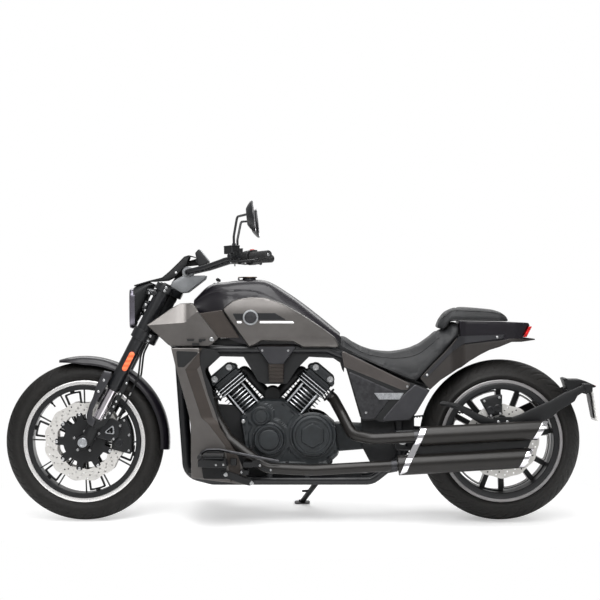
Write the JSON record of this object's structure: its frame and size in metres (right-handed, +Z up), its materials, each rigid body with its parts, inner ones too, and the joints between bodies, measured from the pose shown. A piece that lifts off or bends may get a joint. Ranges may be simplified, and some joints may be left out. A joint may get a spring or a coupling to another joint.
{
  "type": "cruiser motorcycle",
  "caption": "Long, low V-twin cruiser motorcycle with a fat rear tyre, stacked silencers and a stepped seat, parked leaning on its side stand.",
  "frame": {"origin": "middle of the bounding box on the ground", "axes": "+X forwards, +Y to the side that leans up, +Z up from the ground"},
  "size_m": [2.3888, 0.9757, 1.3277],
  "materials": {
    "black_alloy": "satin",
    "chrome": "polished",
    "clear_lens": "gloss",
    "dark_steel": "gloss",
    "disc_steel": "brushed",
    "engine_grey": "satin",
    "gloss_black": "gloss",
    "gunmetal": "satin",
    "matte_black": "matte",
    "orange_lens": "gloss",
    "red_lens": "gloss",
    "rubber": "matte",
    "seat_cover": "matte"
  },
  "bodies": {
    "chassis": {"airbox_cover": "matte_black", "crankcase": "engine_grey", "cylinder_heads": "engine_grey", "cylinders": "engine_grey", "drive_belt": "rubber", "engine_covers": "engine_grey", "exhaust_headers": "matte_black", "footrests": "matte_black", "frame": "dark_steel", "front_panels": "gunmetal", "pillion_pad": "seat_cover", "plate_holder": "matte_black", "radiator": "matte_black", "radiator_shrouds": "gunmetal", "rear_axle": "chrome", "rear_caliper": "black_alloy", "rider_seat": "seat_cover", "side_covers": "gunmetal", "silencers": "matte_black", "swingarm": "matte_black", "tail": "gloss_black", "tail_lamp": "red_lens", "tank": "gloss_black", "tank_panels": "gunmetal"},
    "steering_assembly": {"front_axle": "chrome", "fork_outer_tubes": "dark_steel", "fork_stanchions": "chrome", "fork_lowers": "matte_black", "fork_guards": "matte_black", "fork_yokes": "matte_black", "front_calipers": "matte_black", "front_fender": "gloss_black", "headlamp": "matte_black", "headlamp_lens": "clear_lens", "visor": "matte_black", "instrument": "matte_black", "bar_risers": "matte_black", "handlebar": "dark_steel", "grips": "rubber", "fork_reflectors": "orange_lens", "front_brake_hoses": "matte_black", "control_housings": "matte_black", "hand_levers": "matte_black", "mirrors": "matte_black", "front_turn_lamps": "orange_lens"},
    "front_wheel_assembly": {"front_tyre": "rubber", "front_wheel": "black_alloy", "front_discs": "disc_steel"},
    "rear_wheel_assembly": {"rear_tyre": "rubber", "rear_wheel": "black_alloy", "rear_disc": "disc_steel", "rear_pulley": "matte_black"},
    "side_stand": {"side_stand": "matte_black"},
    "fuel_cap": {"fuel_cap": "matte_black"}
  },
  "joints": [
    {"name": "steering", "type": "hinge", "parent": "chassis", "child": "steering_assembly", "pos_m": [0.83912, 0.12726, 0.29918], "axis": [-0.454, -0.124, 0.8823], "range_deg": [-35, 35]},
    {"name": "front_wheel_spin", "type": "hinge", "parent": "steering_assembly", "child": "front_wheel_assembly", "pos_m": [0.87476, 0.12473, 0.31716], "axis": [0, 0.9903, 0.1392], "continuous": true},
    {"name": "rear_wheel_spin", "type": "hinge", "parent": "chassis", "child": "rear_wheel_assembly", "pos_m": [-0.80524, 0.12392, 0.3229], "axis": [0, 0.9903, 0.1392], "continuous": true},
    {"name": "side_stand_fold", "type": "hinge", "parent": "chassis", "child": "side_stand", "pos_m": [-0.08524, 0.01146, 0.14593], "axis": [-0.1694, 0.6508, -0.7401], "range_deg": [0, 112.4]},
    {"name": "fuel_cap_hinge", "type": "hinge", "parent": "chassis", "child": "fuel_cap", "pos_m": [0.25276, 0.03341, 0.96697], "axis": [0, 0.9903, 0.1392], "range_deg": [0, 80]}
  ]
}
